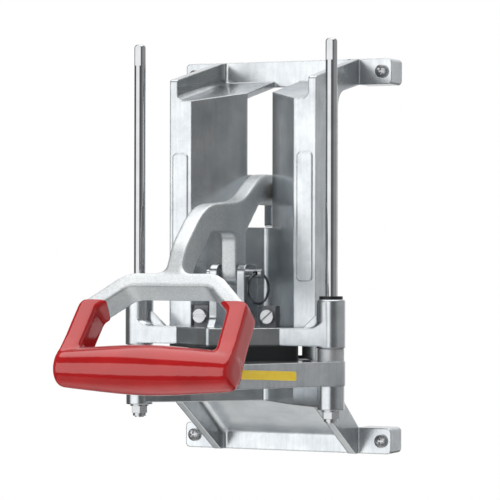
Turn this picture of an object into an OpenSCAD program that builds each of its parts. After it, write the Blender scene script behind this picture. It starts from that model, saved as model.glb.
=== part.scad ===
// Wall-mounted fruit wedger: a lever drives a pusher head down two guide rods onto wedge blades.
// X is to the right, Y runs back to the wall at Y = 0, Z is up from the middle of the wall screws.

/* [Wall bars] */
// Spacing of the wall screws across
screw_x = 183; // [180:1:186]
// Spacing of the wall screws up and down
screw_z = 326; // [322:1:330]
// Width over the ears
bar_w = 201; // [199:1:206]
// Distance from the wall to the front of the bars
bar_depth = 25; // [23:1:27]
// Height of the bars between the ears
bar_h = 20; // [18:1:21]
// Height of the ears
ear_h = 23; // [22:1:26]
// Wall thickness of the hollow bars
bar_wall = 5; // [4:0.5:6]
// Corner radius of the ears
ear_r = 4; // [2:0.5:6]
// Diameter of the screw bosses inside the bars
screw_boss_d = 14; // [12:0.5:16]

/* [Wall screws] */
// Diameter of a screw behind the wall plane
screw_d = 5; // [4:0.5:5]
// Diameter of a screw's neck inside the bar
screw_neck_d = 5.6; // [5.4:0.2:6]
// Diameter of a screw head
screw_head_d = 11.5; // [10:0.5:13]
// Height of a screw head
screw_head_h = 4; // [3:0.5:5]
// Length of a screw behind the wall plane
screw_reach = 12; // [8:1:14]
// Width of the cross recess in a screw head
recess_w = 1.6; // [1:0.2:2]
// Length of the cross recess in a screw head
recess_len = 6.4; // [5:0.2:7]
// Depth of the cross recess in a screw head
recess_deep = 2; // [1:0.2:2.4]

/* [Trough] */
// Distance from the wall to the rail fronts
rail_y = 120; // [118:1:123]
// Width over the outside of the rails
trough_w = 139; // [136:1:142]
// Width of the V mouth between the rails
mouth_w = 98; // [97:1:99]
// Thickness of the side walls
side_wall = 7; // [5:0.5:8]
// Depth of the side walls from front to back
side_depth = 48; // [44:1:52]
// Thickness of the V walls
v_wall = 7; // [5:0.5:8]
// Thickness of the rail fronts
rail_t = 8; // [6:0.5:10]
// Inside radius at the bottom of the V
apex_r = 2.5; // [2:0.5:6]
// Width of the slot for the lever
slot_w = 24; // [22:1:25]
// Height of the lower end of the slot
slot_bot = 25; // [20:1:30]
// Depth of the trough's lower end below the middle
trough_bot = 127; // [125:1:130]
// Thickness of the floor that closes the back of the trough
floor_t = 6; // [5:0.5:8]
// Height of the rib tops at the rail fronts
rib_front = 153.5; // [150:0.5:158]
// Height of the ribs above the sloped top web
rib_rise = 18.5; // [17:0.5:19.5]
// Thickness of the sloped webs
web_t = 5; // [4:0.5:6]
// Radius of the fillets between the ribs and the sloped webs
web_r = 6; // [4:0.5:8]
// Radius of the fillets between the ribs and the wall bars
bar_fillet_r = 4; // [2:0.5:6]
// Height of the side walls where the ribs start to reach back
rib_root = 142; // [136:1:146]
// Depth below the middle where the lower ribs start to reach back
foot_root = 116; // [110:1:120]
// Width of the raised pads on the rails
pad_w = 14; // [10:0.5:16]
// Height of the upper end of the pads
pad_top = 89; // [80:1:100]
// Depth of the lower end of the pads
pad_bot = 21; // [10:1:30]
// Thickness of the raised pads
pad_t = 1.2; // [0.8:0.1:2]
// Corner radius of the raised pads
pad_r = 3.5; // [2:0.5:5]
// Corner radius at the upper end of the rails
rail_r = 3; // [1:0.5:5]
// Radius where the ribs leave the side walls
rib_r = 16; // [10:1:20]
// Lap of the sloped lower web on the front of the lower bar
foot_lap = 4; // [3:0.5:6]
// Length of the level foot at the lower bar
toe = 6; // [4:0.5:8]
// Radius at the end of that foot
toe_r = 4; // [2:0.5:6]
// Distance of the lowest point of the side walls behind the rails
skirt_run = 13; // [11:0.5:16]
// Height of the rails' lower ends above that point
skirt_rise = 10; // [8:0.5:12]
// Radius at the lowest point of the side walls
skirt_r = 14; // [8:1:16]
// Radius at the lower end of the rails
skirt_front_r = 5; // [3:0.5:6]

// Width of the notches at the lower end of the rails
notch_w = 8; // [6:0.5:9]
// Reach of the notches into the V mouth
notch_in = 7; // [5:0.5:8]
// Depth of the notches behind the rail fronts
notch_deep = 20; // [16:0.5:22]
// Height of the notches
notch_h = 13; // [10:0.5:14]
// Height of the notches above the blade frame
notch_up = 3.5; // [2:0.5:5]

/* [Base] */
// Depth of the base seat below the middle
base_z = 108.5; // [106:0.5:110]
// Outside diameter of the base bosses
base_boss_d = 23; // [20:0.5:26]
// Depth of the base bosses below the trough's end
base_boss_drop = 2; // [0.5:0.5:3]
// Half thickness of the arms that carry the base bosses
base_arm_t = 11; // [10:0.5:11]
// Distance of the arms' roots behind the rail fronts
base_arm_back = 14; // [10:0.5:18]

/* [Guide rods] */
// Diameter of a guide rod
rod_d = 10; // [9:0.5:11]
// Distance of the guide rods inside the ends of the wall bars
rod_inset = 9.8; // [8.5:0.1:10.5]
// Distance of the rods in front of the rails
rod_out = 16; // [15:0.5:18]
// Height of the rod tops
rod_top = 184; // [175:1:200]
// Rounding at the rod tops
rod_tip_r = 3; // [1:0.5:4]
// Length of the wrench flats at the rod tops
flat_len = 18.5; // [12:0.5:24]
// Depth of the wrench flats at the rod tops
flat_deep = 0.8; // [0.4:0.1:1.2]
// Diameter of the threaded rod ends
rod_end_d = 8; // [6:0.5:8.5]
// Thickness of the washers under the base
rod_washer_t = 1.6; // [1:0.2:2.5]
// Diameter of the washers under the base
rod_washer_d = 16; // [15.5:0.5:20]
// Width across flats of the rod nuts
rod_nut_af = 13; // [11:0.5:14]
// Height of the rod nuts
rod_nut_h = 6; // [5:0.5:7]
// Diameter of the locking rings on the rod nuts
nut_ring_d = 11.4; // [10:0.2:12]
// Height of the locking rings on the rod nuts
nut_ring_h = 2.6; // [2:0.2:3]
// Length of thread that stands out below the nuts
thread_out = 1; // [0.5:0.5:3]
// Diameter of the rod collars
collar_d = 22.5; // [20:0.5:24]
// Height of the rod collars
collar_h = 10.5; // [9:0.5:12]
// Gap left between the head and what it comes down on
rest_gap = 0.5; // [0.3:0.1:1]

/* [Blade frame] */
// Height of the blade frame
ring_h = 20.5; // [20:0.5:22]
// Width of the square opening
ring_open = 92; // [91.5:0.5:93]
// Wall thickness of the blade frame
ring_wall = 12; // [11:0.5:12.5]
// Distance of the frame's flat front from the rods
ring_front = 97; // [94:1:100]
// Angle of the frame's slanted fronts from the side
ring_slant = 30; // [28:1:34]
// Thickness of the frame's top over its hollow front
ring_deck = 7; // [5:0.5:9]
// Wall thickness around the hollow front
ring_skin = 8; // [6:0.5:9]
// Outside corner radius of the blade frame
ring_r = 6; // [3:0.5:8]
// Diameter of the ears around the rods
ring_ear_d = 24.5; // [22:0.5:25]
// Clearance of the blade frame in the trough
ring_clear = 0.4; // [0.3:0.1:0.8]
// Thickness of a blade
blade_t = 1.2; // [0.8:0.1:1.6]
// Height of a blade
blade_h = 16; // [14:0.5:17]
// Height of a blade's sharpened edge
blade_edge = 4; // [2:0.5:6]
// Depth of the blade ends in the frame
blade_seat = 5; // [3:0.5:6]
// Metal left under the blades in the frame
blade_under = 2; // [1:0.5:3]
// Diameter of the hub where the blades meet
hub_d = 14; // [12:0.5:16]
// Core of the hub inside the blade slots
hub_core_d = 7; // [6:0.5:8]

/* [Pusher head] */
// Height of the rod bosses on the head
boss_h = 41; // [38:0.5:44]
// Outside diameter of the rod bosses on the head
boss_d = 24.5; // [22:0.5:25]
// Radius around the top edge of these bosses
boss_rim_r = 2; // [1:0.5:3]
// Height of the arms and the diamond plate
arm_h = 15; // [13:0.5:17]
// Depth of the arms from front to back
arm_w = 24; // [20:0.5:24]
// Height of the arms above the foot of the bosses
arm_lift = 1.5; // [0.5:0.5:3]
// Half width of the diamond plate
plate_side = 63; // [60:1:65]
// Half depth of the diamond plate
plate_front = 53; // [51:1:56]
// Corner radius of the diamond plate
plate_r = 3; // [2:0.5:5]
// Radius at the foot of the bosses
boss_foot_r = 8; // [5:0.5:9]
// Thickness of the gussets beside the bosses
gusset_t = 5; // [4:0.5:7]
// Height and length of the gussets
gusset_len = 13; // [10:0.5:16]
// Thickness of a clevis ear
clevis_t = 7; // [6:0.5:8]
// Depth of a clevis ear from front to back
clevis_w = 28; // [26:1:30]
// Flare of a clevis ear at its foot
clevis_flare = 5; // [3:0.5:6]
// Radius at the foot of a clevis ear
clevis_foot_r = 9; // [7:0.5:10]
// Gap between the clevis ears
clevis_gap = 19; // [17:0.5:20]
// Height of the release pin above the plate
pin_up = 46; // [44:0.5:48]
// Metal above the release pin in the ears
clevis_over = 8; // [7:0.5:9]
// Outside diameter of the bushings
bush_d = 14; // [13:0.5:15]
// Diameter of the bushing flanges
flange_d = 20; // [18:0.5:21]
// Thickness of the bushing flanges
flange_t = 2.5; // [2:0.5:4]

/* [Pusher block] */
// Side of the square block
block_side = 89; // [87:0.5:89]
// Height of the block
block_h = 32; // [30:0.5:33]
// Corner radius of the block
block_r = 7; // [6:0.5:9]
// Width of the slots that clear the blades
block_slot = 4; // [3.5:0.1:5]
// Room above the blades in those slots
block_over = 2; // [1:0.5:3]
// Room around the hub
hub_room = 1.5; // [1:0.5:2.5]
// Distance of the block posts from the middle
post_x = 32; // [31:0.5:33]
// Distance of the block posts behind the rods
post_back = 6.5; // [5.5:0.5:7]
// Width of a block post
post_w = 13; // [12:0.5:14]
// Depth of a block post from front to back
post_t = 9; // [8:0.5:9.5]
// Height of a block post above the plate
post_h = 18; // [16:0.5:20]
// Depth of a block post in the block
post_deep = 12; // [8:0.5:13]
// Height of the cross screws above the plate
cross_up = 9; // [8.5:0.5:10]
// Diameter of a cross screw
cross_d = 6; // [5:0.5:6.5]
// Diameter of a cross screw's head
cross_head_d = 12; // [11:0.5:13]
// Height of a cross screw's head
cross_head_h = 4.5; // [4:0.5:5]
// Width of the slot in that head
cross_slot_w = 1.8; // [1.2:0.2:2.2]
// Depth of the slot in that head
cross_slot_deep = 1.8; // [1.2:0.2:2.4]
// Turn of the slot in the right head
cross_turn = 40; // [0:5:90]
// Width across flats of the cross nuts
cross_nut_af = 10; // [9:0.5:11]
// Height of the cross nuts
cross_nut_h = 5; // [4:0.5:6]
// Length of cross screw behind the nuts
cross_out = 1; // [0.5:0.5:2]

/* [Release pin] */
// Diameter of the release pin
pin_d = 6.4; // [5.5:0.1:7]
// Length of the pin past the left ear
pin_past = 8; // [5:0.5:10]
// Diameter of the pin's knob
knob_d = 7.4; // [7.2:0.1:8]
// Length of the knob
knob_len = 10.5; // [10.5:0.5:12]
// Wire diameter of the pull ring
ring_wire = 2.2; // [1.8:0.2:2.4]
// Radius of the pull ring
ring_radius = 13; // [12:0.5:13.5]
// Turn of the pull ring towards the front
ring_turn = 18; // [10:1:20]
// Room around the ring wire in the knob
eye_room = 1; // [0.9:0.1:1.1]
// Metal at the end of the knob past that hole
eye_rim = 2; // [1.8:0.1:2.2]

/* [Lever] */
// Thickness of the lever
lever_t = 14; // [12:0.5:15]
// Distance of the guide pin in front of the corner behind the V walls
guide_in = 4.9; // [4.4:0.1:5.4]
// Height of the guide pin above the release pin
arm_up = 71; // [70.5:0.5:72]
// Radius of the lever's rear end
tail_r = 13.5; // [13:0.5:14]
// Height of that round end's middle above the guide pin
tail_rise = 1.5; // [1:0.1:1.8]
// Radius of the lever's eye around the release pin
eye_r = 10; // [9.5:0.5:11]
// Height of the arm's underside above the release pin
arm_under = 59.5; // [58:0.5:60.5]
// Distance of that underside's front end behind the release pin
arm_run = 38; // [36:0.5:40]
// Start of the arm's level top behind the release pin
crest_back = 44; // [42:0.5:48]
// Distance of the saddle in the lever's top behind the release pin
saddle_back = 5; // [2:0.5:8]
// Height of the saddle above the release pin
saddle_up = 62; // [60:0.5:64]
// Distance of the shoulder in front of the release pin
shoulder_fwd = 68; // [65:0.5:70]
// Height of the shoulder above the release pin
shoulder_up = 57.5; // [55:0.5:60]
// Distance of the neck in front of the release pin
neck_fwd = 104; // [102:0.5:106]
// Height of the neck above the release pin
neck_up = 24.5; // [22:0.5:27]
// Distance of the throat behind the neck in front of the release pin
throat_fwd = 87; // [85:0.5:88]
// Height of the throat above the release pin
throat_up = 7; // [6:0.5:9]
// Distance of the arch's front in front of the release pin
arch_fwd = 57.5; // [54:0.5:60]
// Height of the arch between the stem and the leg
arch_up = 34.5; // [32:0.5:36]
// Radius of the arm's crest
crest_r = 50; // [40:1:55]
// Radius of the saddle
saddle_r = 60; // [50:1:65]
// Radius of the shoulder
shoulder_r = 60; // [50:1:65]
// Radius of the neck
neck_r = 40; // [30:1:50]
// Radius of the throat
throat_r = 25; // [22:1:27]
// Radius of the lever's tight bends
tight_r = 8; // [5:0.5:9]

/* [Handle] */
// Depth of the handle strap
strap_w = 22; // [20:0.5:24]
// Thickness of the handle strap
strap_t = 13.5; // [12:0.5:14.5]
// Tilt of the handle from upright
strap_tilt = 38; // [36:1:40]
// Distance of the handle's front in front of the release pin
strap_fwd = 113.2; // [112:0.2:115]
// Height of the handle's front above the release pin
strap_up = 4.6; // [4:0.2:6]
// Distance from that point down to the strap's top
strap_top = 4; // [3:0.5:5]
// Half width of the strap's flat top, to the corner
crown = 42; // [40:0.5:44]
// Half width of the handle where its legs begin
hip = 75; // [73:0.5:77]
// Distance down the handle to where its legs begin
hip_run = 36; // [34:0.5:38]
// Half width of the handle at its foot
foot = 78; // [76:0.5:80]
// Half width of the window's flat top, to the corner
win_crown = 36.5; // [35:0.5:38]
// Half width of the window where the legs begin
win_hip = 61; // [60:0.5:62]
// Distance down the handle to that place in the window
win_hip_run = 40.5; // [39:0.5:42]
// Half width of the window at its foot
win_foot = 63; // [62:0.5:64]
// Radius at the handle's shoulders
crown_r = 26; // [20:1:28]
// Radius where the legs begin
hip_r = 9; // [6:0.5:12]
// Radius at the foot of the legs
foot_r = 6; // [4:0.5:8]
// Radius at the window's shoulders
win_crown_r = 12; // [9:0.5:14]
// Radius at the window's other corners
win_r = 5; // [4:0.5:7]
// Distance down the handle to the middle of the cross bar
bar_run = 94; // [91:0.5:97]
// Radius of the cross bar in the middle
bar_r = 20.5; // [19:0.5:22]
// Radius of the cross bar at its ends
bar_end_r = 14.5; // [13.5:0.5:16]
// Depth of the cast core of the cross bar
bar_core = 18; // [15:0.5:20]
// Thickness of the dip
dip_t = 1.6; // [1.2:0.2:2.2]
// Distance down the handle's front to the dip line
dip_run = 33.7; // [32:0.1:36]
// Lean of the dip line down towards the back
dip_lean = 10; // [0:1:15]
// Radius where the stem runs out into the strap
flare_r = 9; // [6:0.5:10]

/* [Guide pin] */
// Diameter of the guide pin
guide_d = 10; // [8:0.5:11]
// Thickness of a guide lug
lug_t = 7; // [6:0.5:8]
// Metal around the guide slots
lug_rim = 5; // [4:0.5:7]
// Distance of a lug's leg behind the middle of the slot's round end
lug_leg_back = 6; // [4:0.5:7]
// Width of a lug's leg
lug_leg_w = 6; // [5:0.5:6.5]
// Length of a lug's leg below the lug, to its round end
lug_leg = 17; // [12:0.5:19]
// Play above and below the guide pin
guide_play = 0.6; // [0.4:0.1:1]
// Diameter of the spacers beside the lever
spacer_d = 15; // [13.5:0.5:17]
// Length of guide pin past the clips
guide_end = 2; // [1:0.5:3]
// Thickness of the outer washers
guide_washer_t = 1.6; // [1:0.2:2]
// Diameter of the outer washers
guide_washer_d = 22; // [21:0.5:24]
// Thickness of the retaining clips
clip_t = 1.2; // [1:0.1:1.6]
// Depth of the clip grooves
clip_deep = 1; // [0.6:0.1:1.5]
// Diameter of the retaining clips
clip_d = 15; // [14:0.5:17]

/* [Travel] */
// Travel of the head
stroke = 130; // [120:1:132]
// Turn of the lever over that travel
turn = 80; // [74:1:82]

/* [Fits] */
// Radial clearance of a running fit
run_fit = 0.05; // [0.03:0.01:0.1]
// Radial clearance of a part that stays put
seat_fit = 0.03; // [0.02:0.01:0.06]
// Side clearance of moving flat faces
side_fit = 0.3; // [0.2:0.05:0.5]
// Radial clearance of a screw hole
screw_fit = 0.3; // [0.2:0.1:0.6]

/* [Hidden] */
$fn = 64;
// Small overlap that joins solids of one casting
bite = 1;
// Length that is sure to cut right through
far = 500;
half_w = trough_w / 2;
bar_mid = screw_z / 2;
bar_top = bar_mid + ear_h / 2;
ear_bot = bar_mid - ear_h / 2;
// Corner where the two V faces would meet
apex_y = rail_y - mouth_w / 2;
v_back_y = apex_y - v_wall * sqrt(2);
web_tilt = atan2(bar_top - rib_front, rail_y - bar_depth);
web_front = rib_front - rib_rise;
side_y = rail_y - side_depth;
foot_tilt = atan2(bar_top - bar_h + foot_lap - trough_bot, side_y - bar_depth);
rod_y = rail_y + rod_out;
rod_x = bar_w / 2 - rod_inset;
arm_back = rod_y - v_back_y - guide_in;
ring_top = ring_h - base_z;
ring_in = ring_open / sqrt(2);
ring_out = ring_in + ring_wall * sqrt(2);
collar_top = ring_top + collar_h;
head_bot = collar_top + rest_gap;
boss_top = head_bot + boss_h;
arm_bot = head_bot + arm_lift;
plate_top = arm_bot + arm_h;
pin_z = plate_top + pin_up;
clevis_x = (clevis_gap + clevis_t) / 2;
clevis_out = clevis_gap / 2 + clevis_t;
block_bot = arm_bot - block_h;
blade_bot = blade_under - base_z;
blade_top = blade_bot + blade_h;
blade_fit = blade_t + 2 * seat_fit;
base_boss_bot = trough_bot + base_boss_drop;
nut_bot = base_boss_bot + rod_washer_t + rod_nut_h + nut_ring_h;
// Heights of the guide pin over the travel, against its place at rest
guide_steps = 40;
guide_rise = [for (i = [0 : guide_steps]) let (f = i / guide_steps)
    stroke * f - arm_back * sin(turn * f) + arm_up * cos(turn * f) - arm_up];
guide_low = min(guide_rise);
guide_high = max(guide_rise);
guide_reach = max([for (i = [0 : guide_steps]) let (f = i / guide_steps)
    arm_back * cos(turn * f) + arm_up * sin(turn * f)]);
guide_slot_h = guide_d + guide_high - guide_low + 2 * guide_play;
guide_z = pin_z + arm_up + (guide_high + guide_low) / 2;
guide_front = arm_back - guide_play;
guide_back = guide_reach + guide_play;
lug_in = slot_w / 2 + bite;
lug_out = lug_in + lug_t;
lug_h = guide_slot_h + 2 * lug_rim;
// Distance from the wall to the front of a lug, inside the V wall
lug_front = v_back_y + lug_out + bite;
washer_in = lug_out + side_fit;
clip_in = washer_in + guide_washer_t;
guide_half = clip_in + clip_t + guide_end;
knob_x = clevis_out + side_fit;
eye_hole = ring_wire / 2 + eye_room;
eye_x = knob_x + knob_len - eye_hole - eye_rim;

// Points of an outline whose corners are given as [x, y, radius]
arc_steps = 10;
function unit(v) = v / norm(v);
function flat(p) = [p[0], p[1]];
function turned(a) = a > 180 ? a - 360 : a < -180 ? a + 360 : a;
function corner(before, at, after, r) =
    let (a = unit(before - at), b = unit(after - at), half = acos(a * b) / 2,
        mid = at + unit(a + b) * r / sin(half),
        s = at + a * r / tan(half) - mid, e = at + b * r / tan(half) - mid,
        a0 = atan2(s[1], s[0]), da = turned(atan2(e[1], e[0]) - a0))
    [for (i = [0 : arc_steps]) mid + r * [cos(a0 + da * i / arc_steps), sin(a0 + da * i / arc_steps)]];
function rounded(pts) = [for (i = [0 : len(pts) - 1])
    let (n = len(pts), p = pts[i])
    each p[2] == 0 ? [flat(p)] : corner(flat(pts[(i + n - 1) % n]), flat(p), flat(pts[(i + 1) % n]), p[2])];

// A side view outline, given as [Y, Z], made a plate of thickness t across X
module plate_x(t) {
    rotate([90, 0, 90]) linear_extrude(t, center = true) children();
}

module rod_x(d, len) {
    rotate([0, 90, 0]) cylinder(d = d, h = len, center = true);
}

module both_sides() {
    children();
    mirror([1, 0, 0]) children();
}

// The rounded end of a bar of diameter d
module round_end(d, r) {
    rotate_extrude() {
        square([d / 2 - r, r]);
        translate([d / 2 - r, 0]) intersection() {
            circle(r);
            square(r);
        }
    }
}

module tube(d, bore, h) {
    difference() {
        cylinder(d = d, h = h);
        translate([0, 0, -bite]) cylinder(d = bore, h = h + 2 * bite);
    }
}

module diamond(half, r) {
    polygon(rounded([[half, 0, r], [0, half, r], [-half, 0, r], [0, -half, r]]));
}

// Space above the sloped top web
module above_web() {
    translate([-far / 2, -rail_y, web_front]) rotate([web_tilt, 0, 0])
        translate([0, -far / 2, 0]) cube([far, far, far / 2]);
}

module trough_section() {
    both_sides() polygon([[0, -apex_y], [mouth_w / 2, -rail_y], [half_w, -rail_y], [half_w, -side_y],
        [half_w - side_wall, -side_y], [half_w - side_wall, -rail_y + rail_t],
        [rail_y - rail_t - v_back_y, -rail_y + rail_t], [0, -v_back_y]]);
    translate([0, -apex_y]) difference() {
        rotate(-135) square(apex_r);
        translate([0, -apex_r * sqrt(2)]) circle(apex_r);
    }
}

// What is cut off the end of a V wall to square it beside the slot
module wall_end() {
    x = slot_w / 2;
    y = -apex_y - x;
    run = v_wall / sqrt(2) + bite;
    polygon([[x - bite, y - bite], [x + run, y + run], [x - bite, y + 2 * run + bite]]);
}

// What lies behind the V between the side walls, back to a given distance from the wall
module behind_v(back) {
    both_sides() polygon([[0, -apex_y], [mouth_w / 2, -rail_y], [half_w - side_wall / 2, -rail_y],
        [half_w - side_wall / 2, -back], [0, -back]]);
}

// A fillet along the sloped top web, inside a rib
module web_fillet() {
    intersection() {
        translate([half_w - side_wall, -rail_y, web_front]) rotate([web_tilt + 90, 0, 0])
            linear_extrude(far, center = true) difference() {
                translate([-web_r, -bite]) square([web_r + bite, web_r + bite]);
                translate([-web_r, web_r]) circle(web_r);
            }
        translate([0, -rail_y, 0]) cube([half_w, rail_y - bar_depth + bite, far]);
    }
}

module side_outline() {
    polygon(rounded([[-rail_y, rib_front, rail_r], [-bar_depth, bar_top, 0], [-bar_depth + bite, bar_top, 0],
        [-bar_depth + bite, ear_bot, 0], [-side_y, rib_root, rib_r], [-side_y, -foot_root, rib_r],
        [-bar_depth + bite, -ear_bot, 0], [-bar_depth + bite, -bar_top, 0],
        [-bar_depth - toe, -bar_top, toe_r],
        [skirt_run - rail_y, -base_boss_bot, skirt_r],
        [-rail_y, skirt_rise - base_boss_bot, skirt_front_r]]));
}

// A fillet along the sloped lower web, inside a rib
module foot_fillet() {
    intersection() {
        translate([half_w - side_wall, -side_y, -trough_bot]) rotate([90 - foot_tilt, 0, 0])
            linear_extrude(far, center = true) translate([-web_r, -web_r]) difference() {
                square(web_r + bite);
                circle(web_r);
            }
        translate([0, -side_y - 2 * web_r, bite - trough_bot - far])
            cube([half_w, side_y + 2 * web_r - bar_depth + bite, far]);
    }
}

// A fillet inside a rib where it meets a wall bar, from height z up
module bar_fillet(z, h) {
    intersection() {
        translate([half_w - side_wall - bar_fillet_r, -bar_depth - bar_fillet_r, z]) linear_extrude(h)
            difference() {
                square(bar_fillet_r + bite);
                circle(bar_fillet_r);
            }
        plate_x(trough_w) side_outline();
    }
}

module bar_outline(inset) {
    side = bar_w / 2 - inset;
    high = ear_h / 2 - inset;
    low = ear_h / 2 - bar_h + inset;
    r = inset == 0 ? ear_r : 0;
    both_sides() translate([0, bar_mid]) polygon(rounded([[0, high, 0], [side, high, r], [side, -high, r],
        [half_w + inset, -high, 0], [half_w + inset, low, 0], [0, low, 0]]));
}

module wall_bar() {
    difference() {
        rotate([90, 0, 0]) linear_extrude(bar_depth) bar_outline(0);
        translate([0, bite, 0]) rotate([90, 0, 0])
            linear_extrude(bar_depth - bar_wall + bite) bar_outline(bar_wall);
    }
    both_sides() translate([screw_x / 2, 0, bar_mid]) rotate([90, 0, 0])
        cylinder(d = screw_boss_d, h = bar_depth - bite);
}

module rail_pad() {
    x = (mouth_w / 2 + half_w) / 2;
    side = pad_w / 2;
    translate([x, -rail_y + bite, 0]) rotate([90, 0, 0]) linear_extrude(pad_t + bite)
        polygon(rounded([[side, -pad_bot, pad_r], [side, pad_top, pad_r], [-side, pad_top, pad_r],
            [-side, -pad_bot, pad_r]]));
}

// A lug behind the trough with a level slot for the guide pin
module guide_lug() {
    translate([(lug_in + lug_out) / 2, 0, guide_z]) difference() {
        plate_x(lug_t) {
            translate([-lug_front, -lug_h / 2]) square([guide_back - rod_y + lug_front, lug_h]);
            translate([guide_back - rod_y, 0]) circle(d = lug_h);
            translate([guide_back - rod_y + lug_leg_back, -lug_h / 2 - lug_leg]) {
                square([lug_leg_w, lug_leg + lug_h / 2]);
                translate([lug_leg_w / 2, 0]) circle(d = lug_leg_w);
            }
        }
        plate_x(lug_t + 2 * bite) {
            translate([guide_front - rod_y, -guide_slot_h / 2])
                square([guide_back - guide_front, guide_slot_h]);
            translate([guide_front - rod_y, 0]) circle(d = guide_slot_h);
            translate([guide_back - rod_y, 0]) circle(d = guide_slot_h);
        }
    }
}

module base_arm() {
    reach = base_arm_t / sqrt(2);
    translate([0, 0, -trough_bot]) linear_extrude(trough_bot - base_z)
        polygon([[mouth_w / 2, -rail_y], [mouth_w / 2, -rail_y + rail_t], [half_w, base_arm_back - rail_y],
            [rod_x + reach, -rod_y + reach], [rod_x - reach, -rod_y - reach]]);
    translate([rod_x, -rod_y, -base_boss_bot]) cylinder(d = base_boss_d, h = base_boss_bot - base_z);
}

module frame_casting() {
    color("gainsboro") difference() {
        union() {
            difference() {
                translate([0, 0, -trough_bot]) linear_extrude(far) trough_section();
                above_web();
                translate([0, 0, slot_bot]) linear_extrude(far) both_sides() wall_end();
            }
            intersection() {
                translate([0, 0, web_front - far / 4]) linear_extrude(far) behind_v(bar_depth - bite);
                translate([-far / 2, -rail_y, web_front]) rotate([web_tilt, 0, 0])
                    translate([0, -far / 2, -web_t]) cube([far, far, web_t]);
            }
            translate([0, 0, -trough_bot]) linear_extrude(floor_t) behind_v(side_y - floor_t);
            intersection() {
                translate([-half_w + side_wall / 2, -side_y, -trough_bot]) rotate([-foot_tilt, 0, 0])
                    cube([trough_w - side_wall, far, web_t]);
                translate([-far / 2, -far - bar_depth + bite, -far / 2]) cube(far);
            }
            both_sides() translate([half_w - side_wall / 2, 0, 0]) plate_x(side_wall) side_outline();
            wall_bar();
            mirror([0, 0, 1]) wall_bar();
            both_sides() {
                web_fillet();
                foot_fillet();
                bar_fillet(bar_top - rib_rise - web_t / 2, rib_rise + web_t);
                bar_fillet(-bar_top, bar_h - foot_lap + web_t / 2);
            }
            both_sides() rail_pad();
            both_sides() guide_lug();
            both_sides() base_arm();
        }
        translate([-slot_w / 2, -rail_y, slot_bot]) cube([slot_w, rail_y - bar_depth, far]);
        translate([0, -rod_y, -base_z]) linear_extrude(ring_h + ring_clear) diamond(ring_out + ring_clear, 0);
        both_sides() translate([mouth_w / 2 - notch_in, -rail_y - bite, ring_top + notch_up])
            cube([notch_in + notch_w, notch_deep + bite, notch_h]);
        both_sides() translate([rod_x, -rod_y, -far / 2]) cylinder(r = rod_d / 2 + seat_fit, h = far);
        both_sides() for (z = [-bar_mid, bar_mid]) translate([screw_x / 2, bite, z]) rotate([90, 0, 0])
            cylinder(r = screw_neck_d / 2 + screw_fit, h = bar_depth + 2 * bite);
    }
}

module wall_screw() {
    difference() {
        union() {
            translate([0, 0, -bar_depth - screw_reach]) cylinder(d = screw_d, h = screw_reach + bite);
            translate([0, 0, -bar_depth]) cylinder(d = screw_neck_d, h = bar_depth + bite);
            intersection() {
                cylinder(d = screw_head_d, h = screw_head_h);
                translate([0, 0, screw_head_h - screw_head_d]) sphere(screw_head_d);
            }
        }
        for (a = [0, 90]) rotate(a) translate([-recess_len / 2, -recess_w / 2, screw_head_h - recess_deep])
            cube([recess_len, recess_w, recess_deep + bite]);
    }
}

module wall_screws() {
    color("silver") both_sides() for (z = [-bar_mid, bar_mid])
        translate([screw_x / 2, -bar_depth, z]) rotate([90, 0, 0]) wall_screw();
}

module guide_rod() {
    top = rod_top - rod_tip_r;
    translate([0, -rod_y, 0]) difference() {
        union() {
            translate([0, 0, -base_boss_bot]) cylinder(d = rod_d, h = top + base_boss_bot);
            translate([0, 0, top]) round_end(rod_d, rod_tip_r);
            translate([0, 0, -nut_bot - thread_out])
                cylinder(d = rod_end_d, h = nut_bot + thread_out - base_boss_bot + bite);
        }
        for (a = [0, 180]) rotate(a) translate([-rod_d, rod_d / 2 - flat_deep, rod_top - flat_len])
            cube([2 * rod_d, rod_d, flat_len + bite]);
    }
}

module left_guide_rod() {
    color("lightgray") translate([-rod_x, 0, 0]) guide_rod();
}

module right_guide_rod() {
    color("lightgray") translate([rod_x, 0, 0]) guide_rod();
}

module rod_washers() {
    color("silver") both_sides() translate([rod_x, -rod_y, -base_boss_bot - rod_washer_t])
        tube(rod_washer_d, rod_end_d + 2 * seat_fit, rod_washer_t);
}

module hex_nut(af, bore, h) {
    difference() {
        cylinder(d = af / cos(30), h = h, $fn = 6);
        translate([0, 0, -bite]) cylinder(d = bore, h = h + 2 * bite);
    }
}

module rod_nuts() {
    bore = rod_end_d + 2 * seat_fit;
    color("silver") both_sides() translate([rod_x, -rod_y, -nut_bot]) {
        tube(nut_ring_d, bore, nut_ring_h + bite);
        translate([0, 0, nut_ring_h]) hex_nut(rod_nut_af, bore, rod_nut_h);
    }
}

module rod_collars() {
    color("gainsboro") both_sides() translate([rod_x, -rod_y, ring_top])
        tube(collar_d, rod_d + 2 * seat_fit, collar_h);
}

// Front of the blade frame: slanted faces that run from the rod ears to a flat front
module frame_front(inset, back, r) {
    out = ring_ear_d / 2 - inset;
    edge = rod_x + out / cos(ring_slant);
    lead = ring_front - inset;
    slope = tan(ring_slant);
    polygon(rounded([[edge - back * slope, -back, 0], [edge - lead * slope, -lead, r],
        [lead * slope - edge, -lead, r], [back * slope - edge, -back, 0]]));
}

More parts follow.
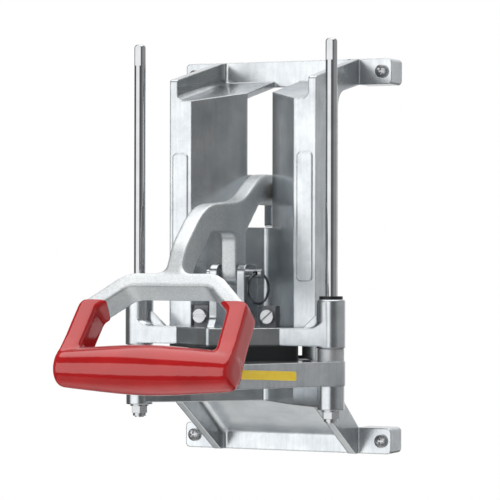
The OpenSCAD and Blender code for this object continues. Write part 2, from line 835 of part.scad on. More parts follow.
module blade_frame() {
    ear_foot = ring_ear_d / 2 * sin(ring_slant);
    color("gainsboro") translate([0, -rod_y, -base_z]) difference() {
        union() {
            linear_extrude(ring_h) diamond(ring_out, ring_r);
            linear_extrude(ring_h) frame_front(0, ear_foot, ring_r);
            both_sides() translate([rod_x, 0, 0]) cylinder(d = ring_ear_d, h = ring_h);
        }
        translate([0, 0, -bite]) linear_extrude(ring_h - ring_deck + bite) difference() {
            frame_front(ring_skin, ring_ear_d / 2 + ring_skin / 2, ring_r);
            diamond(ring_in + ring_wall * sqrt(2), 0);
        }
        translate([0, 0, -bite]) linear_extrude(ring_h + 2 * bite) diamond(ring_in, 0);
        both_sides() translate([rod_x, 0, -bite]) cylinder(r = rod_d / 2 + seat_fit, h = ring_h + 2 * bite);
        for (a = [0 : 90 : 270]) {
            rotate(a) translate([0, -blade_fit / 2, blade_under])
                cube([ring_in + blade_seat + seat_fit, blade_fit, ring_h]);
            rotate(a + 45) translate([0, -blade_fit / 2, blade_under])
                cube([ring_open / 2 + blade_seat + seat_fit, blade_fit, ring_h]);
        }
    }
}

module blade_hub() {
    color("silver") translate([0, -rod_y, blade_bot]) difference() {
        cylinder(d = hub_d, h = blade_h - blade_edge);
        for (a = [0 : 45 : 315]) rotate(a)
            translate([hub_core_d / 2, -blade_fit / 2, -bite]) cube([hub_d, blade_fit, blade_h]);
    }
}

module blade(reach) {
    start = hub_core_d / 2 + seat_fit;
    translate([(start + reach) / 2, 0, 0]) plate_x(reach - start)
        polygon([[-blade_t / 2, 0], [blade_t / 2, 0], [blade_t / 2, blade_h - blade_edge], [0, blade_h],
            [-blade_t / 2, blade_h - blade_edge]]);
}

module long_blades() {
    color("silver") translate([0, -rod_y, blade_bot])
        for (a = [0 : 90 : 270]) rotate(a) blade(ring_in + blade_seat);
}

module short_blades() {
    color("silver") translate([0, -rod_y, blade_bot])
        for (a = [45 : 90 : 315]) rotate(a) blade(ring_open / 2 + blade_seat);
}

module clevis_ear() {
    top = pin_up + clevis_over;
    flare = clevis_w / 2 + clevis_flare;
    translate([clevis_x, -rod_y, plate_top - bite]) plate_x(clevis_t) polygon(rounded([
        [-flare, 0, 0], [-flare, bite, 0], [-clevis_w / 2, clevis_foot_r, clevis_foot_r],
        [-clevis_w / 2, top + bite, clevis_over], [clevis_w / 2, top + bite, clevis_over],
        [clevis_w / 2, clevis_foot_r, clevis_foot_r], [flare, bite, 0], [flare, 0, 0]]));
}

module plate_outline() {
    polygon(rounded([[plate_side, 0, plate_r], [0, plate_front, plate_r], [-plate_side, 0, plate_r],
        [0, -plate_front, plate_r]]));
}

// A round fillet at the foot of a rod boss, as wide as the arm
module boss_fillet() {
    sink = bite / 4;
    reach = boss_d / 2 + boss_foot_r - sink;
    intersection() {
        translate([rod_x, -rod_y, plate_top - bite - sink]) rotate_extrude() difference() {
            square([reach, boss_foot_r + bite]);
            translate([reach, boss_foot_r + bite]) circle(boss_foot_r);
        }
        translate([0, -rod_y - arm_w / 2, arm_bot]) cube([rod_x, arm_w, boss_h]);
    }
}

module gusset() {
    translate([rod_x - boss_d / 2, -rod_y, plate_top - bite]) rotate([90, 0, 0])
        linear_extrude(gusset_t, center = true)
        polygon([[bite, 0], [bite, gusset_len + bite], [-gusset_len, bite], [-gusset_len, 0]]);
}

module pusher_head() {
    color("gainsboro") difference() {
        union() {
            translate([0, -rod_y, arm_bot]) linear_extrude(arm_h) plate_outline();
            translate([-rod_x, -rod_y - arm_w / 2, arm_bot]) cube([2 * rod_x, arm_w, arm_h]);
            both_sides() translate([rod_x, -rod_y, head_bot]) {
                cylinder(d = boss_d, h = boss_h - boss_rim_r);
                translate([0, 0, boss_h - boss_rim_r]) round_end(boss_d, boss_rim_r);
            }
            both_sides() boss_fillet();
            both_sides() gusset();
            both_sides() clevis_ear();
        }
        both_sides() translate([rod_x, -rod_y, -far / 2]) cylinder(r = bush_d / 2 + seat_fit, h = far);
        translate([0, -rod_y, pin_z]) rod_x(pin_d + 2 * run_fit, far / 2);
        both_sides() at_posts() post(seat_fit, far);
    }
}

module bushing() {
    translate([0, -rod_y, 0]) difference() {
        union() {
            translate([0, 0, head_bot]) cylinder(d = bush_d, h = boss_h);
            translate([0, 0, boss_top]) cylinder(d = flange_d, h = flange_t);
        }
        translate([0, 0, -far / 2]) cylinder(r = rod_d / 2 + run_fit, h = far);
    }
}

module left_bushing() {
    color("dimgray") translate([-rod_x, 0, 0]) bushing();
}

module right_bushing() {
    color("dimgray") translate([rod_x, 0, 0]) bushing();
}

module pusher_block() {
    slot_h = blade_top + block_over - block_bot;
    color("#202020") translate([0, -rod_y, block_bot]) difference() {
        linear_extrude(block_h) diamond(block_side / sqrt(2), block_r);
        for (a = [0 : 45 : 135]) rotate(a) translate([-far / 2, -block_slot / 2, -bite])
            cube([far, block_slot, slot_h + bite]);
        translate([0, 0, -bite]) cylinder(r = hub_d / 2 + hub_room, h = slot_h + bite);
        translate([0, rod_y, -block_bot]) both_sides() at_posts() post(seat_fit, far);
    }
}

module at_posts() {
    translate([post_x, post_back - rod_y, plate_top]) children();
}

// A square post, grown all round by a margin
module post(margin, height) {
    w = post_w + 2 * margin;
    t = post_t + 2 * margin;
    translate([-w / 2, -t / 2, -arm_h - post_deep]) cube([w, t, height]);
}

module block_posts() {
    color("silver") both_sides() at_posts() difference() {
        post(0, arm_h + post_deep + post_h);
        translate([0, 0, cross_up]) rotate([90, 0, 0])
            cylinder(r = cross_d / 2 + seat_fit, h = far / 2, center = true);
    }
}

// A slotted screw along Y whose head bears on the front of a post
module cross_screw(slot_turn) {
    back = post_t + cross_nut_h + cross_out;
    translate([0, -post_t / 2, cross_up]) rotate([90, 0, 0]) difference() {
        union() {
            translate([0, 0, -back]) cylinder(d = cross_d, h = back + bite);
            cylinder(d = cross_head_d, h = cross_head_h);
        }
        rotate(slot_turn) translate([-cross_head_d, -cross_slot_w / 2, cross_head_h - cross_slot_deep])
            cube([2 * cross_head_d, cross_slot_w, cross_slot_deep + bite]);
    }
}

module block_screws() {
    color("silver") {
        at_posts() cross_screw(cross_turn);
        mirror([1, 0, 0]) at_posts() cross_screw(0);
    }
}

module block_nuts() {
    color("silver") both_sides() at_posts() translate([0, post_t / 2, cross_up]) rotate([-90, 0, 0])
        hex_nut(cross_nut_af, cross_d + 2 * seat_fit, cross_nut_h);
}

module release_pin() {
    pin_len = clevis_out + pin_past + knob_x + bite;
    color("silver") translate([0, -rod_y, pin_z]) difference() {
        union() {
            translate([knob_x + bite - pin_len / 2, 0, 0]) rod_x(pin_d, pin_len);
            translate([knob_x + knob_len / 2, 0, 0]) rod_x(knob_d, knob_len);
        }
        translate([eye_x, 0, 0]) rotate(-ring_turn) rotate([90, 0, 0])
            cylinder(r = eye_hole, h = far / 2, center = true);
    }
}

module pull_ring() {
    color("silver") translate([eye_x, -rod_y, pin_z - ring_radius]) rotate(-ring_turn)
        rotate([0, 90, 0]) rotate_extrude() translate([ring_radius, 0]) circle(d = ring_wire, $fn = 24);
}

// Side view of the lever, from the release pin at [0, 0] to the guide pin and the handle strap
module lever_outline() {
    tail_z = arm_up + tail_rise;
    top = tail_z + tail_r;
    along = [sin(strap_tilt), cos(strap_tilt)];
    strap_front = [-strap_fwd, strap_up] - (strap_top + bite) * along;
    strap_back = strap_front + strap_w * [cos(strap_tilt), -sin(strap_tilt)];
    polygon(rounded([[arm_back, top, 0], [crest_back, top, crest_r],
        [saddle_back, saddle_up, saddle_r], [-shoulder_fwd, shoulder_up, shoulder_r],
        [-neck_fwd, neck_up, neck_r],
        [strap_front[0], strap_front[1], 0], [strap_back[0], strap_back[1], 0],
        [-throat_fwd, throat_up, throat_r], [-arch_fwd, arch_up, tight_r], [-eye_r, arch_up, tight_r],
        [-eye_r, 0, 0], [eye_r, 0, 0], [eye_r, arch_up, tight_r], [arm_run, arm_under, tight_r],
        [arm_back, tail_z - tail_r, 0]]));
    translate([arm_back, tail_z]) circle(tail_r);
    circle(eye_r);
}

// Outside and inside of the handle loop in its own plane, grown by a margin
function loop_out(m) = [[0, m - strap_top, 0], [crown + m / 2, m - strap_top, crown_r],
    [hip + m, m / 2 - hip_run, hip_r], [foot + m, -bar_run - bar_core / 2 - m, foot_r],
    [0, -bar_run - bar_core / 2 - m, 0]];
function loop_in(m) = [[0, -strap_top - strap_t - m, 0],
    [win_crown - m / 2, -strap_top - strap_t - m, win_crown_r], [win_hip - m, -win_hip_run - m / 2, win_r],
    [win_foot - m, bar_core / 2 - bar_run + m, win_r], [0, bar_core / 2 - bar_run + m, 0]];

module loop_outline(margin) {
    difference() {
        both_sides() polygon(rounded(loop_out(margin)));
        both_sides() polygon(rounded(loop_in(margin)));
    }
}

// The handle loop in its tilted plane, with its front face on the plane
module handle_loop(margin) {
    strap_plane() translate([0, 0, -strap_w - margin])
        linear_extrude(strap_w + 2 * margin) loop_outline(margin);
}

module strap_plane() {
    translate([0, -strap_fwd, strap_up]) rotate([90 - strap_tilt, 0, 0]) children();
}

// Fillets that widen the stem where it meets the strap
module stem_flare() {
    strap_plane() translate([0, -strap_top, -strap_w]) linear_extrude(strap_w) both_sides() difference() {
        translate([0, -bite]) square([lever_t / 2 + flare_r, flare_r + bite]);
        translate([lever_t / 2 + flare_r, flare_r]) circle(flare_r);
    }
}

module lever_arm() {
    color("gainsboro") translate([0, -rod_y, pin_z]) difference() {
        union() {
            plate_x(lever_t) lever_outline();
            handle_loop(0);
            stem_flare();
        }
        rod_x(pin_d + 2 * run_fit, far / 2);
        translate([0, arm_back, arm_up]) rod_x(guide_d + 2 * seat_fit, far / 2);
    }
}

// A bar that swells to its middle, along X
module barrel(len) {
    swell = bar_r - bar_end_r;
    big = (len * len / 4 + swell * swell) / (2 * swell);
    rotate([0, 90, 0]) rotate_extrude() intersection() {
        translate([bar_r - big, 0]) circle(big, $fn = 200);
        translate([0, -len / 2]) square([bar_r + bite, len]);
    }
}

module grip_sleeve() {
    color("firebrick") translate([0, -rod_y, pin_z]) difference() {
        union() {
            difference() {
                handle_loop(dip_t);
                strap_plane() translate([-far / 2, -dip_run, 0]) rotate([-dip_lean, 0, 0])
                    translate([0, 0, -far / 2]) cube(far);
            }
            strap_plane() translate([0, -bar_run, -strap_w / 2]) barrel(2 * (foot + dip_t));
        }
        handle_loop(seat_fit);
    }
}

module at_guide_pin() {
    translate([0, arm_back - rod_y, pin_z + arm_up]) children();
}

module guide_pin() {
    color("silver") at_guide_pin() difference() {
        rod_x(guide_d, 2 * guide_half);
        both_sides() translate([clip_in + clip_t / 2, 0, 0]) difference() {
            rod_x(guide_d + bite, clip_t);
            rod_x(guide_d - 2 * clip_deep, clip_t + bite);
        }
    }
}

// A ring around the guide pin, from one distance to another along X
module pin_ring(d, bore, start, end) {
    at_guide_pin() both_sides() translate([start, 0, 0]) rotate([0, 90, 0]) tube(d, bore, end - start);
}

module guide_pin_spacers() {
    color("gold") pin_ring(spacer_d, guide_d + 2 * seat_fit, lever_t / 2, slot_w / 2 - side_fit);
}

module guide_pin_washers() {
    color("silver") pin_ring(guide_washer_d, guide_d + 2 * seat_fit, washer_in, clip_in);
}

module guide_pin_clips() {
    color("dimgray") pin_ring(clip_d, guide_d - 2 * clip_deep + 2 * seat_fit, clip_in, clip_in + clip_t);
}

frame_casting();
wall_screws();
left_guide_rod();
right_guide_rod();
rod_washers();
rod_nuts();
rod_collars();
blade_frame();
blade_hub();
long_blades();
short_blades();
pusher_head();
left_bushing();
right_bushing();
pusher_block();
block_posts();
block_screws();
block_nuts();
release_pin();
pull_ring();
lever_arm();
grip_sleeve();
guide_pin();
guide_pin_spacers();
guide_pin_washers();
guide_pin_clips();
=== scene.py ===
import bpy, bmesh, math
from mathutils import Matrix, Vector


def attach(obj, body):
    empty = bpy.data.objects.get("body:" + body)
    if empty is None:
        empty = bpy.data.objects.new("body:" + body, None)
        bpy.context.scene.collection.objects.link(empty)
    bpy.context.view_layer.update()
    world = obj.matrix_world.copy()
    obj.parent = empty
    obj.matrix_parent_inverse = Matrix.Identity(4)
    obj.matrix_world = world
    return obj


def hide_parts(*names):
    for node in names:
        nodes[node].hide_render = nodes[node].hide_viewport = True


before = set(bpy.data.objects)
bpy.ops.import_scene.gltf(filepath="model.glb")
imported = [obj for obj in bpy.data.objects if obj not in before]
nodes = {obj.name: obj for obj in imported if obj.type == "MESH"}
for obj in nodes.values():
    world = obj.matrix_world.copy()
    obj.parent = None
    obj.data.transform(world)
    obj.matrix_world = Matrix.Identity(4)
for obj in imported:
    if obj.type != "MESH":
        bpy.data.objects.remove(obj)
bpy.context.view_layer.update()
mm = 0.001
print("frame loaded:", len(nodes), "CAD nodes")


def linear(hexColour):
    # sRGB hex to the linear values that shaders take
    parts = [int(hexColour[i:i + 2], 16) / 255 for i in (1, 3, 5)]
    return [p / 12.92 if p <= 0.04045 else ((p + 0.055) / 1.055) ** 2.4 for p in parts] + [1.0]


def add(tree, kind, inputs=None, stops=(), **settings):
    # one node with its settings: an input is a plain value or another node's output,
    # stops are a ramp's places and tones
    node = tree.nodes.new(kind)
    for name, value in settings.items():
        setattr(node, name, value)
    for name, value in (inputs or {}).items():
        socket = node.inputs[name]
        if isinstance(value, bpy.types.NodeSocket):
            tree.links.new(value, socket)
        else:
            socket.default_value = value
    for i, (place, tone) in enumerate(stops):
        # a new ramp has two stops already
        stop = node.color_ramp.elements[i] if i < 2 else node.color_ramp.elements.new(place)
        stop.position = place
        stop.color = linear(tone) if isinstance(tone, str) else (tone, tone, tone, 1)
    return node


def material(name):
    made = bpy.data.materials.new(name)
    made.use_nodes = True
    made.node_tree.nodes.clear()
    return made, made.node_tree


def perMetre(sizeMm):
    # noise scale that puts one feature every sizeMm millimetres
    return 1 / (sizeMm * mm)


noiseLow, noiseHigh = 0.3, 0.7  # nearly all of a noise's values lie between these

# materials

aluminium = {
    "colour": "#dee2e4", "shade": "#b9bec3", "edge": "#e8e9ea",
    "cloudMm": 30, "cloudSpan": 0.25, "grainMm": 1.1, "pitMm": 3.2,
    "edgeMm": 1.8, "edgeStart": 0.99, "edgeFull": 0.80,  # cosines where the rubbing starts and is full
    "streakMm": 3.0, "streak": 0.3, "streakStretch": (1, 1, 0.06),
    "roughLow": 0.21, "roughHigh": 0.265, "bumpMm": 0.002, "mottle": 0.05,
}
# the lever was blasted after casting: paler and duller than the rest, with a grain that shows
leverAluminium = dict(
    aluminium, colour="#e9eced", shade="#d9dddf", edge="#f0f0f1",
    roughLow=0.44, roughHigh=0.54, bumpMm=0.14, grainMm=1.5, mottle=0.16)


def sandCastAluminium(name, look):
    # sand-cast aluminium, tumbled: satin skin with a fine sparkle of grain, soft bright edges, cloudy tone
    # real sand grain is finer than a pixel, so it is drawn a few times coarser
    made, tree = material(name)
    where = add(tree, "ShaderNodeTexCoord").outputs["Object"]
    cloud = add(tree, "ShaderNodeTexNoise", {
        "Vector": where, "Scale": perMetre(look["cloudMm"]), "Detail": 4.0, "Roughness": 0.6})
    grain = add(tree, "ShaderNodeTexNoise", {
        "Vector": where, "Scale": perMetre(look["grainMm"]), "Detail": 3.0, "Roughness": 0.65})
    pits = add(tree, "ShaderNodeTexNoise", {
        "Vector": where, "Scale": perMetre(look["pitMm"]), "Detail": 2.0, "Roughness": 0.5})
    # faint streaks run up and down, as left by a belt
    upright = add(tree, "ShaderNodeMapping", {"Vector": where, "Scale": look["streakStretch"]})
    streaks = add(tree, "ShaderNodeTexNoise", {
        "Vector": upright.outputs["Vector"], "Scale": perMetre(look["streakMm"]),
        "Detail": 3.0, "Roughness": 0.6})
    # where the rounded normal turns off the flat one there is an edge: tumbling rubs it brighter
    soft = add(tree, "ShaderNodeBevel", {"Radius": look["edgeMm"] * mm}, samples=6)
    flat = add(tree, "ShaderNodeNewGeometry")
    facing = add(tree, "ShaderNodeVectorMath", {
        0: soft.outputs["Normal"], 1: flat.outputs["Normal"]}, operation="DOT_PRODUCT")
    edge = add(tree, "ShaderNodeMapRange", {
        "Value": facing.outputs["Value"], "From Min": look["edgeStart"], "From Max": look["edgeFull"]})
    # clouds and streaks together lead from the shade to the colour
    worn = add(tree, "ShaderNodeMath", {
        0: streaks.outputs["Fac"], 1: look["streak"], 2: cloud.outputs["Fac"]}, operation="MULTIPLY_ADD")
    middle = (1 + look["streak"]) / 2
    wear = add(tree, "ShaderNodeMapRange", {
        "Value": worn.outputs["Value"],
        "From Min": middle - look["cloudSpan"], "From Max": middle + look["cloudSpan"]})
    # inputs 6 and 7 of a Mix are its two colours
    tone = add(tree, "ShaderNodeMix", {
        "Factor": wear.outputs["Result"], 6: linear(look["shade"]), 7: linear(look["colour"])},
        data_type="RGBA")
    rubbed = add(tree, "ShaderNodeMix", {
        "Factor": edge.outputs["Result"], 6: tone.outputs[2], 7: linear(look["edge"])}, data_type="RGBA")
    mottle = add(tree, "ShaderNodeMapRange", {
        "Value": grain.outputs["Fac"], "From Min": noiseLow, "From Max": noiseHigh,
        "To Min": 1 - look["mottle"], "To Max": 1 + look["mottle"] / 2})
    grained = add(tree, "ShaderNodeHueSaturation", {
        "Value": mottle.outputs["Result"], "Color": rubbed.outputs[2]})
    rough = add(tree, "ShaderNodeMapRange", {
        "Value": grain.outputs["Fac"], "From Min": noiseLow, "From Max": noiseHigh,
        "To Min": look["roughLow"], "To Max": look["roughHigh"]})
    height = add(tree, "ShaderNodeMath", {0: grain.outputs["Fac"], 1: pits.outputs["Fac"]}, operation="ADD")
    bump = add(tree, "ShaderNodeBump", {
        "Strength": 1.0, "Distance": look["bumpMm"] * mm,
        "Height": height.outputs["Value"], "Normal": soft.outputs["Normal"]})
    shader = add(tree, "ShaderNodeBsdfPrincipled", {
        "Base Color": grained.outputs["Color"], "Metallic": 1.0,
        "Roughness": rough.outputs["Result"], "Normal": bump.outputs["Normal"]})
    add(tree, "ShaderNodeOutputMaterial", {"Surface": shader.outputs["BSDF"]})
    return made


metalLooks = {
    # name: colour, roughness, scratch spacing mm, scale of the scratches along x, y, z, edge mm
    "ground chromed steel": ("#c2c4c6", 0.07, 0.9, (1, 1, 0.05), 0.3),  # mirror bright, faint upright lines
    "zinc-plated steel": ("#c4c6c8", 0.26, 0.8, (1, 1, 1), 0.4),  # pale, with a soft shine
    "turned stainless steel": ("#cfd1d3", 0.22, 0.7, (0.08, 1, 1), 0.4),  # bright, fine lines along the pin
    "turned aluminium": ("#dadcde", 0.48, 0.7, (0.1, 0.1, 1), 0.5),  # dull silver, fine rings around it
    "drawn spring wire": ("#5d5f62", 0.20, 0.6, (1, 1, 1), 0.2),  # dark grey and shiny
    "ground blade steel": ("#d2d3d4", 0.24, 0.6, (1, 1, 0.06), 0.1),  # pale, grinding lines up and down
    "oiled sintered bronze": ("#857f76", 0.45, 1.2, (1, 1, 1), 0.3),  # brownish grey, dull
    "zinc-plated steel darkened as painted shade": ("#8f9194", 0.60, 0.9, (1, 1, 1), 0.4),  # zinc plating darkened to mid grey as painted shade, hardly any shine
}
toolMarks = {
    "cloudMm": 14, "cloud": (0.93, 1.04), "roughSpread": (0.75, 1.35), "bump": 0.12, "bumpMm": 0.02,
}


def workedMetal(name, look, marks=toolMarks):
    # a worked metal: fine tool marks run one way and break up the gloss a little
    # real marks lie closer together, so they are drawn coarse enough to show
    colour, rough, spacingMm, scale, edgeMm = look
    made, tree = material(name)
    where = add(tree, "ShaderNodeTexCoord").outputs["Object"]
    along = add(tree, "ShaderNodeMapping", {"Vector": where, "Scale": scale})
    scratches = add(tree, "ShaderNodeTexNoise", {
        "Vector": along.outputs["Vector"], "Scale": perMetre(spacingMm), "Detail": 3.0, "Roughness": 0.6})
    cloud = add(tree, "ShaderNodeTexNoise", {
        "Vector": where, "Scale": perMetre(marks["cloudMm"]), "Detail": 2.0})
    spread = add(tree, "ShaderNodeMapRange", {
        "Value": scratches.outputs["Fac"], "From Min": noiseLow, "From Max": noiseHigh,
        "To Min": rough * marks["roughSpread"][0], "To Max": rough * marks["roughSpread"][1]})
    shade = add(tree, "ShaderNodeMapRange", {
        "Value": cloud.outputs["Fac"], "From Min": noiseLow, "From Max": noiseHigh,
        "To Min": marks["cloud"][0], "To Max": marks["cloud"][1]})
    tone = add(tree, "ShaderNodeHueSaturation", {
        "Value": shade.outputs["Result"], "Color": linear(colour)})
    soft = add(tree, "ShaderNodeBevel", {"Radius": edgeMm * mm}, samples=4)
    bump = add(tree, "ShaderNodeBump", {
        "Strength": marks["bump"], "Distance": marks["bumpMm"] * mm,
        "Height": scratches.outputs["Fac"], "Normal": soft.outputs["Normal"]})
    shader = add(tree, "ShaderNodeBsdfPrincipled", {
        "Base Color": tone.outputs["Color"], "Metallic": 1.0,
        "Roughness": spread.outputs["Result"], "Normal": bump.outputs["Normal"]})
    add(tree, "ShaderNodeOutputMaterial", {"Surface": shader.outputs["BSDF"]})
    return made


nylon = {
    "colour": "#1b1e20", "deep": "#121516", "rough": 0.42, "roughSpread": (0.85, 1.15), "ior": 1.53,
    "grainMm": 1.6, "edgeMm": 1.0, "bump": 0.2, "bumpMm": 0.04,
}


def machinedNylon(name, look=nylon):
    # nylon, machined from bar: black, faintly grained, with a dull sheen
    # its tool marks are finer than a pixel, so the grain is drawn coarser
    made, tree = material(name)
    where = add(tree, "ShaderNodeTexCoord").outputs["Object"]
    grain = add(tree, "ShaderNodeTexNoise", {
        "Vector": where, "Scale": perMetre(look["grainMm"]), "Detail": 3.0})
    spread = add(tree, "ShaderNodeMapRange", {
        "Value": grain.outputs["Fac"], "From Min": noiseLow, "From Max": noiseHigh,
        "To Min": look["rough"] * look["roughSpread"][0], "To Max": look["rough"] * look["roughSpread"][1]})
    tone = add(tree, "ShaderNodeValToRGB", {"Fac": grain.outputs["Fac"]}, [
        (noiseLow, look["deep"]), (noiseHigh, look["colour"])])
    soft = add(tree, "ShaderNodeBevel", {"Radius": look["edgeMm"] * mm}, samples=4)
    bump = add(tree, "ShaderNodeBump", {
        "Strength": look["bump"], "Distance": look["bumpMm"] * mm,
        "Height": grain.outputs["Fac"], "Normal": soft.outputs["Normal"]})
    shader = add(tree, "ShaderNodeBsdfPrincipled", {
        "Base Color": tone.outputs["Color"], "Roughness": spread.outputs["Result"],
        "IOR": look["ior"], "Normal": bump.outputs["Normal"]})
    add(tree, "ShaderNodeOutputMaterial", {"Surface": shader.outputs["BSDF"]})
    return made


dip = {
    "colour": "#bb2023", "deep": "#af1b1e", "sheen": "#ffe4e2", "gloss": 0.95, "rough": 0.08, "ior": 1.53,
    "waveMm": 22, "orangePeelMm": 2.4, "orangePeel": 0.3, "bump": 0.10, "bumpMm": 0.05,
}


def plastisolDip(name, look=dip):
    # vinyl plastisol, hot-dipped: glossy red skin, faintly wavy, with a trace of orange peel
    made, tree = material(name)
    where = add(tree, "ShaderNodeTexCoord").outputs["Object"]
    wave = add(tree, "ShaderNodeTexNoise", {
        "Vector": where, "Scale": perMetre(look["waveMm"]), "Detail": 1.0})
    peel = add(tree, "ShaderNodeTexNoise", {
        "Vector": where, "Scale": perMetre(look["orangePeelMm"]), "Detail": 1.0})
    tone = add(tree, "ShaderNodeValToRGB", {"Fac": wave.outputs["Fac"]}, [
        (noiseLow, look["deep"]), (noiseHigh, look["colour"])])
    height = add(tree, "ShaderNodeMath", {
        0: peel.outputs["Fac"], 1: look["orangePeel"]}, operation="MULTIPLY")
    bump = add(tree, "ShaderNodeBump", {
        "Strength": look["bump"], "Distance": look["bumpMm"] * mm, "Height": height.outputs["Value"]})
    shader = add(tree, "ShaderNodeBsdfPrincipled", {
        "Base Color": tone.outputs["Color"], "Roughness": look["rough"], "IOR": look["ior"],
        "Specular IOR Level": look["gloss"], "Specular Tint": linear(look["sheen"]),
        "Normal": bump.outputs["Normal"]})
    add(tree, "ShaderNodeOutputMaterial", {"Surface": shader.outputs["BSDF"]})
    return made


vinyl = {"colour": "#ffe257", "deep": "#ffd93f", "dirtMm": 6, "rough": 0.35, "ior": 1.5}


def vinylFilm(name, look=vinyl):
    # vinyl film, cut: flat yellow, slightly glossy, a little dirt in the tone
    made, tree = material(name)
    where = add(tree, "ShaderNodeTexCoord").outputs["Object"]
    dirt = add(tree, "ShaderNodeTexNoise", {
        "Vector": where, "Scale": perMetre(look["dirtMm"]), "Detail": 3.0})
    tone = add(tree, "ShaderNodeValToRGB", {"Fac": dirt.outputs["Fac"]}, [
        (noiseLow, look["deep"]), (noiseHigh, look["colour"])])
    shader = add(tree, "ShaderNodeBsdfPrincipled", {
        "Base Color": tone.outputs["Color"], "Roughness": look["rough"], "IOR": look["ior"]})
    add(tree, "ShaderNodeOutputMaterial", {"Surface": shader.outputs["BSDF"]})
    return made


castSkin = sandCastAluminium("Sand-cast aluminium, tumbled", aluminium)
leverSkin = sandCastAluminium("Sand-cast aluminium, blasted", leverAluminium)
metals = {name: workedMetal(name.capitalize(), look) for name, look in metalLooks.items()}
blackNylon = machinedNylon("Black nylon, machined")
redDip = plastisolDip("Red plastisol, dipped")
yellowVinyl = vinylFilm("Yellow vinyl, blank")
print("materials made:", len(bpy.data.materials))

finishes = [
    (castSkin, ["frame_casting", "blade_frame", "pusher_head"]),
    (leverSkin, ["lever_arm"]),
    (metals["ground chromed steel"], ["left_guide_rod", "right_guide_rod"]),
    (metals["turned aluminium"], ["rod_collars"]),
    (metals["zinc-plated steel"], [
        "wall_screws", "rod_washers", "rod_nuts", "block_screws", "block_nuts", "guide_pin_washers"]),
    # the block posts get the zinc plating darkened as painted shade, for the shade they stand in
    (metals["zinc-plated steel darkened as painted shade"], ["block_posts"]),
    (metals["turned stainless steel"], ["release_pin", "guide_pin"]),
    (metals["drawn spring wire"], ["pull_ring", "guide_pin_clips"]),
    (metals["oiled sintered bronze"], ["guide_pin_spacers"]),
    (metals["ground blade steel"], ["blade_hub", "long_blades", "short_blades"]),
    (blackNylon, ["pusher_block", "left_bushing", "right_bushing"]),
    (redDip, ["grip_sleeve"]),
]
for finish, names in finishes:
    for name in names:
        slots = nodes[name].data.materials
        slots.clear()
        slots.append(finish)
print("finishes set on", sum(len(names) for finish, names in finishes), "nodes")


# shapes

def newObject(name, mesh, finish):
    made = bpy.data.objects.new(name, mesh)
    bpy.context.scene.collection.objects.link(made)
    made.data.materials.clear()
    made.data.materials.append(finish)
    return made


def rounded(corners, steps=8):
    # closed outline from (x, y, radius) corners, each rounded by an arc
    points = []
    for i, (x, y, radius) in enumerate(corners):
        at = Vector((x, y))
        before = (Vector(corners[i - 1][:2]) - at).normalized()
        after = (Vector(corners[(i + 1) % len(corners)][:2]) - at).normalized()
        half = before.angle(after) / 2
        middle = at + (before + after).normalized() * radius / math.sin(half)
        start = at + before * radius / math.tan(half) - middle
        end = at + after * radius / math.tan(half) - middle
        turn = math.atan2(start.x * end.y - start.y * end.x, start.dot(end))
        points += [middle + Matrix.Rotation(turn * k / steps, 2) @ start for k in range(steps + 1)]
    return points


def smoothShaded(mesh):
    for face in mesh.polygons:
        face.use_smooth = True


def remeshed(piece, voxelMm, passes):
    # closes overlapping shells into one skin and rubs its edges round
    skin = piece.modifiers.new("skin", "REMESH")
    skin.mode = "VOXEL"
    skin.voxel_size = voxelMm * mm
    rub = piece.modifiers.new("rub", "SMOOTH")
    rub.factor = 0.5
    rub.iterations = passes
    graph = bpy.context.evaluated_depsgraph_get()
    mesh = bpy.data.meshes.new_from_object(piece.evaluated_get(graph))
    piece.modifiers.clear()
    finish = piece.data.materials[0]
    piece.data = mesh
    mesh.materials.clear()
    mesh.materials.append(finish)
    smoothShaded(mesh)
    return piece


handle = {
    # the handle's tilted plane, from the release pin, and its outlines across and down that plane, in mm
    "pin": (-136.0, -14.5), "forward": 113.2, "up": 4.6, "tilt": 38.0, "depth": 22.0,
    "outer": [(42, -4, 26), (75, -36, 9), (78, -103, 12)],
    "window": [(36.5, -17.5, 12), (61, -40.5, 5), (63, -85, 5)],
    "edge": 3.2, "edgeSteps": 4,
    # how thick the dip is, and the line where it ends
    "dip": 1.6, "dipRun": 33.7, "dipLean": 10.0,
    # the bar: its place down the plane, its radii, half its length, and how softly crest and ends turn
    "barRun": 94.0, "barMiddle": 20.5, "barEnd": 15.4, "barHalf": 79.6, "barBlend": 26.0, "endRound": 5.5,
    "barStations": 96, "barAround": 48,
    # where the legs start to thicken into the bar, and how far they reach in from its ends
    "flareRun": 46.0, "flareStart": 74.4, "flareDeep": 10.0, "flareIn": 15.0, "flareEase": 0.8,
    "voxelMm": 1.0, "rub": 24,
}


def handlePoint(u, q, t, look=handle):
    # u across, q up the plane (down is negative), t behind the front face
    tilt = math.radians(look["tilt"])
    y = look["pin"][0] - look["forward"] + q * math.sin(tilt) + t * math.cos(tilt)
    z = look["pin"][1] + look["up"] + q * math.cos(tilt) - t * math.sin(tilt)
    return Vector((u * mm, y * mm, z * mm))


def dippedOutline(corners, grow):
    # the right half of an outline, moved out by the dip (in, for the window) and mirrored
    (ax, ay, ar), (bx, by, br), (cx, cy, cr) = corners
    right = [(ax + grow / 2, ay + grow, ar), (bx + grow, by + grow / 2, br), (cx + grow, cy - grow, cr)]
    return rounded(right + [(-x, y, r) for x, y, r in reversed(right)])


